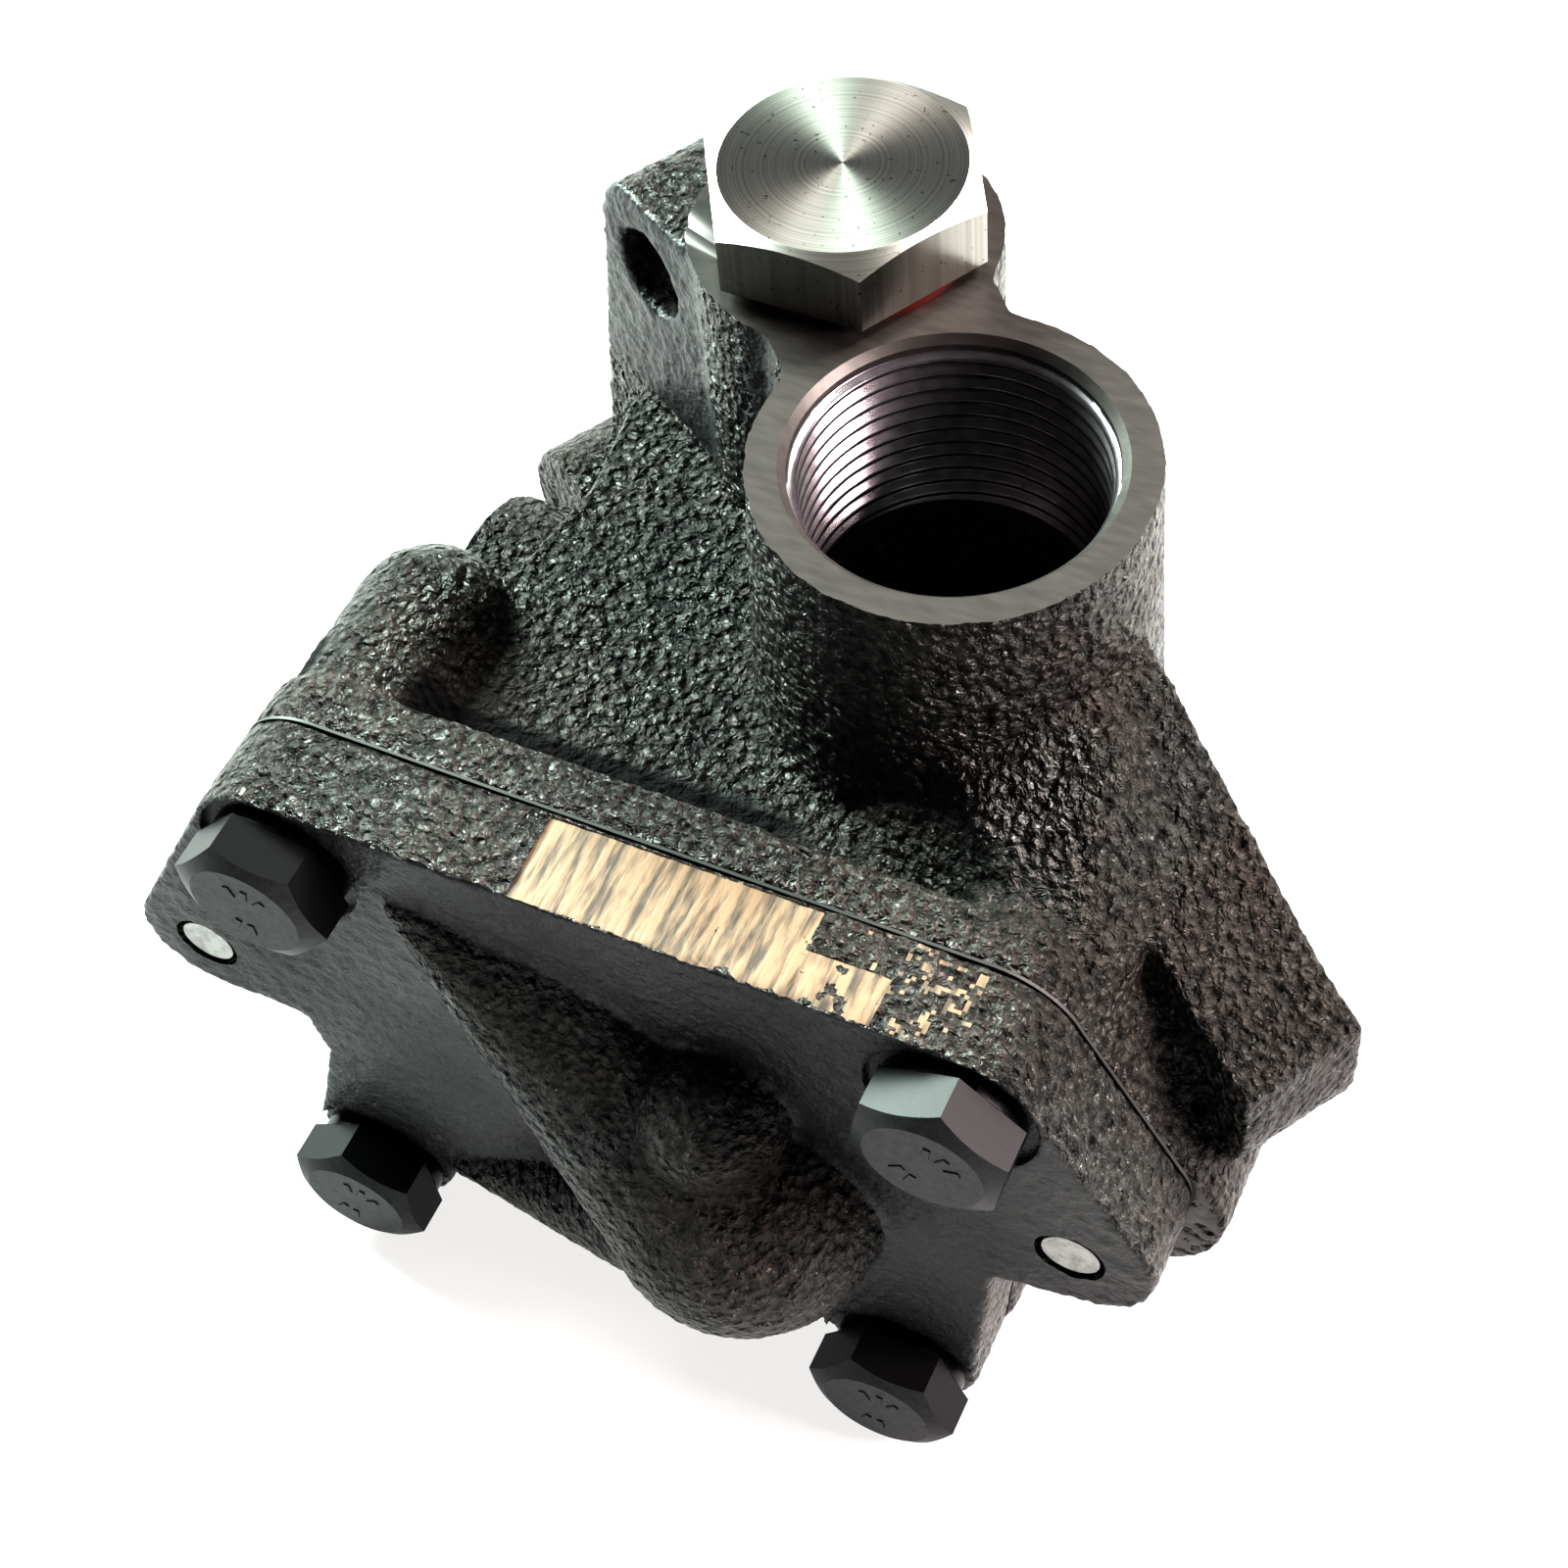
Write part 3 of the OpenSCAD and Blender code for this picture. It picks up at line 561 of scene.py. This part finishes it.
def dress(name, material, edge=0.0):
    """Gives a solid its finish, and breaks its sharp edges by the given width in millimetres."""
    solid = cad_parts[name]
    solid.data.materials.clear()
    solid.data.materials.append(material)
    if edge:
        broken = solid.modifiers.new("broken edges", "BEVEL")
        broken.width = edge * MM
        broken.segments = 2
        broken.limit_method = "ANGLE"
        broken.angle_limit = math.radians(28)
        broken.harden_normals = True


dress("cover_gasket", gasket_black)

# ---------------------------------------------------------------------------------------
# Cover bolts and lock washers: four hex bolts of blackened steel on split washers. The
# heads are forged with a round raised face, worn grey, with small plain marks on it.
# ---------------------------------------------------------------------------------------
HEAD_FACE_Y = -19.4
HEAD_TURN = (12, 40, 25, 8)
MARK_R = 3.6
MARK_SIZE = (0.9, 0.3, 1.9)


def blackened_steel(name, side, face, roughness):
    """Black oxide that is rubbed grey on faces that look away from the cover."""
    material, tree, shader, where = new_material(name, 0.1, roughness,
                                                 **{"Specular IOR Level": 0.15})
    facing = node(tree, "ShaderNodeSeparateXYZ",
                  {0: node(tree, "ShaderNodeTexCoord").outputs["Normal"]}).outputs["Y"]
    rubbed = node(tree, "ShaderNodeMapRange",
                  {"Value": facing, "From Min": -0.8, "From Max": -0.98}).outputs[0]
    scuffs = node(tree, "ShaderNodeTexNoise",
                  {"Vector": where, "Scale": 900.0, "Detail": 4.0, "Roughness": 0.7}).outputs["Fac"]
    worn = node(tree, "ShaderNodeMath", {0: rubbed, 1: node(
        tree, "ShaderNodeMapRange", {"Value": scuffs, "From Min": 0.3, "From Max": 0.6,
                                     "To Min": 0.45}).outputs[0]}, operation="MULTIPLY").outputs[0]
    tree.links.new(node(tree, "ShaderNodeMix", {0: worn, 6: side, 7: face},
                        data_type="RGBA").outputs[2], shader.inputs["Base Color"])
    tree.links.new(node(tree, "ShaderNodeBump", {"Strength": 0.4, "Distance": 0.05 * MM,
                                                 "Height": scuffs}).outputs[0],
                   shader.inputs["Normal"])
    return material


bolt_black = blackened_steel("blackened bolt steel", (0.005, 0.005, 0.006, 1),
                             (0.05, 0.052, 0.056, 1), 0.42)
washer_black = blackened_steel("blackened washer steel", (0.006, 0.006, 0.008, 1),
                               (0.015, 0.015, 0.017, 1), 0.3)
dress("cover_bolts", bolt_black, 0.3)
dress("lock_washers", washer_black, 0.2)

bm = bmesh.new()
for (x, z), turn in zip(BOLTS, HEAD_TURN):
    for side, count in ((1, 3), (-1, 2)):
        for i in range(count):
            a = math.radians(turn) + (i - (count - 1) / 2) * 0.55
            spot = Matrix.Translation(at(x + side * MARK_R * math.sin(a), HEAD_FACE_Y,
                                         z + side * MARK_R * math.cos(a)))
            mark = bmesh.ops.create_cube(bm, size=1.0)["verts"]
            shape = Matrix.Diagonal((*(size * MM for size in MARK_SIZE), 1.0))
            bmesh.ops.transform(bm, matrix=spot @ Matrix.Rotation(a, 4, "Y") @ shape, verts=mark)
marks = new_piece("head_marks", bm)
marks.data.materials.append(bolt_black)
softened = marks.modifiers.new("forged edges", "BEVEL")
softened.width = 0.12 * MM
softened.segments = 2
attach(marks, "housing")

# ---------------------------------------------------------------------------------------
# Dowels: two ground steel pins that set the cover on the body. Their ends show in the
# cover face, each in its dark reamed hole.
# ---------------------------------------------------------------------------------------


def bright_steel(name, low, high, roughness, size=700.0):
    """Turned or ground steel with fine marks."""
    material, tree, shader, where = new_material(name, 0.9, roughness)
    fine = node(tree, "ShaderNodeTexNoise",
                {"Vector": where, "Scale": size, "Detail": 4.0, "Roughness": 0.65}).outputs["Fac"]
    tone = node(tree, "ShaderNodeValToRGB", {"Fac": fine})
    tone.color_ramp.elements[0].position = 0.3
    tone.color_ramp.elements[0].color = low
    tone.color_ramp.elements[1].position = 0.6
    tone.color_ramp.elements[1].color = high
    tree.links.new(tone.outputs["Color"], shader.inputs["Base Color"])
    tree.links.new(node(tree, "ShaderNodeBump", {"Strength": 0.25, "Distance": 0.03 * MM,
                                                 "Height": fine}).outputs[0],
                   shader.inputs["Normal"])
    return material


ground_steel = bright_steel("ground steel", (0.2, 0.2, 0.195, 1), (0.36, 0.36, 0.35, 1), 0.42)
dress("dowel_pins", ground_steel, 0.5)

# ---------------------------------------------------------------------------------------
# Relief valve: a large turned hex plug on a copper ring holds a spring on the piston and
# its seat. Only the plug and the edge of the ring show.
# ---------------------------------------------------------------------------------------
turned_steel, plug_tree, plug_shader, plug_where = new_material(
    "turned plug steel", 1.0, 0.3, Anisotropic=0.75)
plug_low, plug_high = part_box("relief_plug")
plug_axis = (plug_low + plug_high) / 2
from_axis = node(plug_tree, "ShaderNodeVectorMath",
                 {0: plug_where, 1: (plug_axis.x, plug_axis.y, 0)}, operation="SUBTRACT").outputs[0]
across_face = node(plug_tree, "ShaderNodeVectorMath",
                   {0: from_axis, 1: (1, 1, 0)}, operation="MULTIPLY").outputs[0]
radius = node(plug_tree, "ShaderNodeVectorMath", {0: across_face},
              operation="LENGTH").outputs["Value"]
tool_marks = node(plug_tree, "ShaderNodeTexNoise",
                  {"W": node(plug_tree, "ShaderNodeMath", {0: radius, 1: 1000.0},
                             operation="MULTIPLY").outputs[0], "Scale": 3.0, "Detail": 4.0},
                  noise_dimensions="1D").outputs["Fac"]
specks = node(plug_tree, "ShaderNodeTexNoise",
              {"Vector": plug_where, "Scale": 1500.0, "Detail": 2.0}).outputs["Fac"]
speck_mask = node(plug_tree, "ShaderNodeMapRange",
                  {"Value": specks, "From Min": 0.68, "From Max": 0.74}).outputs[0]
plug_tone = node(plug_tree, "ShaderNodeValToRGB", {"Fac": tool_marks})
plug_tone.color_ramp.elements[0].position = 0.3
plug_tone.color_ramp.elements[0].color = (0.26, 0.255, 0.235, 1)
plug_tone.color_ramp.elements[1].position = 0.7
plug_tone.color_ramp.elements[1].color = (0.36, 0.355, 0.33, 1)
plug_tree.links.new(node(plug_tree, "ShaderNodeMix",
                         {0: speck_mask, 6: plug_tone.outputs["Color"], 7: (0.1, 0.09, 0.08, 1)},
                         data_type="RGBA").outputs[2], plug_shader.inputs["Base Color"])
plug_tree.links.new(node(plug_tree, "ShaderNodeVectorMath", {0: (0, 0, 1), 1: across_face},
                         operation="CROSS_PRODUCT").outputs[0], plug_shader.inputs["Tangent"])
plug_tree.links.new(node(plug_tree, "ShaderNodeBump", {"Strength": 0.15, "Distance": 0.02 * MM,
                                                       "Height": tool_marks}).outputs[0],
                    plug_shader.inputs["Normal"])
dress("relief_plug", turned_steel, 0.3)
copper, _, _, _ = new_material("dull copper", 0.8, 0.4, **{"Base Color": (0.16, 0.03, 0.02, 1)})
dress("plug_washer", copper, 0.2)
spring_steel = bright_steel("spring steel", (0.1, 0.1, 0.1, 1), (0.25, 0.25, 0.26, 1), 0.35)
hard_steel = bright_steel("hardened steel", (0.2, 0.2, 0.21, 1), (0.36, 0.36, 0.37, 1), 0.3)
dress("relief_spring", spring_steel)
dress("relief_piston", hard_steel, 0.3)
dress("relief_seat", hard_steel, 0.3)

# ---------------------------------------------------------------------------------------
# Gears, shafts and bushes: two hardened gears keyed to ground shafts that turn in bronze
# bushes in the body and the cover. They show only through the ports.
# ---------------------------------------------------------------------------------------
bronze = bright_steel("bearing bronze", (0.25, 0.15, 0.05, 1), (0.42, 0.28, 0.11, 1), 0.4)
for rotor in ("drive", "driven"):
    dress(f"{rotor}_gear", hard_steel)
    dress(f"{rotor}_gear_key", hard_steel, 0.2)
    dress(f"{rotor}_shaft", ground_steel, 0.4)
    dress(f"{rotor}_bush_front", bronze, 0.3)
    dress(f"{rotor}_bush_rear", bronze, 0.3)

# ---------------------------------------------------------------------------------------
# Drive end: a lip seal of black nitrile pressed in the snout behind a spring steel circlip.
# ---------------------------------------------------------------------------------------
nitrile, _, _, _ = new_material("nitrile rubber", 0.0, 0.5,
                                **{"Base Color": (0.015, 0.013, 0.012, 1)})
dress("shaft_seal", nitrile, 0.2)
dress("seal_circlip", spring_steel, 0.15)

# ---------------------------------------------------------------------------------------
# Floor, light and camera: a plain pale studio floor under three soft lights, which stand
# behind the pump on the left, above and on the right, so that its front stays dark.
# ---------------------------------------------------------------------------------------
FLOOR_Z = cad_box[0][2]
bm = bmesh.new()
bmesh.ops.create_grid(bm, x_segments=1, y_segments=1, size=3.0)
bm.transform(Matrix.Translation((0, 0, FLOOR_Z)))
floor = new_piece("floor", bm)
floor_white, _, _, _ = new_material("studio floor", 0.0, 0.8, **{
    "Base Color": (0.3, 0.3, 0.3, 1), "Emission Color": (1.0, 0.985, 0.97, 1),
    "Emission Strength": 0.6})
floor.data.materials.append(floor_white)

world = bpy.data.worlds.new("studio")
bpy.context.scene.world = world
world.use_nodes = True
sky = world.node_tree
upward = node(sky, "ShaderNodeSeparateXYZ",
              {0: node(sky, "ShaderNodeTexCoord").outputs["Generated"]})
behind = node(sky, "ShaderNodeMath", {0: upward.outputs["Y"], 1: 0.16, 2: 0.06},
              operation="MULTIPLY_ADD").outputs[0]
glow = node(sky, "ShaderNodeMath", {0: upward.outputs["Z"], 1: 0.16, 2: behind},
            operation="MULTIPLY_ADD", use_clamp=True).outputs[0]
seen = node(sky, "ShaderNodeLightPath").outputs["Is Camera Ray"]
sky.links.new(node(sky, "ShaderNodeMath", {0: glow, 1: seen}, operation="MAXIMUM").outputs[0],
              sky.nodes["Background"].inputs["Strength"])
sky.nodes["Background"].inputs["Color"].default_value = (0.97, 0.98, 1.0, 1)


def softbox(name, place, aim, size, power, colour):
    """A large soft area light that faces its aim."""
    light = bpy.data.lights.new(name, "AREA")
    light.shape = "RECTANGLE"
    light.size, light.size_y = size
    light.energy = power
    light.color = colour
    lamp = bpy.data.objects.new(name, light)
    bpy.context.scene.collection.objects.link(lamp)
    lamp.location = place
    lamp.rotation_euler = (Vector(aim) - Vector(place)).to_track_quat("-Z", "Y").to_euler()


softbox("left and behind", (-0.85, 0.3, 0.55), (0, 0, 0), (0.45, 0.45), 52.0, (0.84, 1.0, 0.92))
softbox("behind and above", (0.35, 0.6, 0.75), (0, 0, 0), (0.3, 0.3), 24.0, (1.0, 0.96, 0.9))
softbox("right and behind", (0.9, 0.15, 0.5), (0, 0, 0), (0.4, 0.4), 26.0, (1.0, 0.86, 0.84))

bpy.context.scene.view_settings.view_transform = "Standard"
bpy.context.scene.view_settings.look = "High Contrast"
lens = bpy.data.cameras.new("camera")
lens.lens = 67.5
lens.sensor_width = 36.0
lens.clip_start = 0.01
camera = bpy.data.objects.new("camera", lens)
bpy.context.scene.collection.objects.link(camera)
camera.location = (0.0899, -0.2142, 0.3074)
camera.rotation_euler = [math.radians(a) for a in (35.88, 3.582, 24.836)]
bpy.context.scene.camera = camera
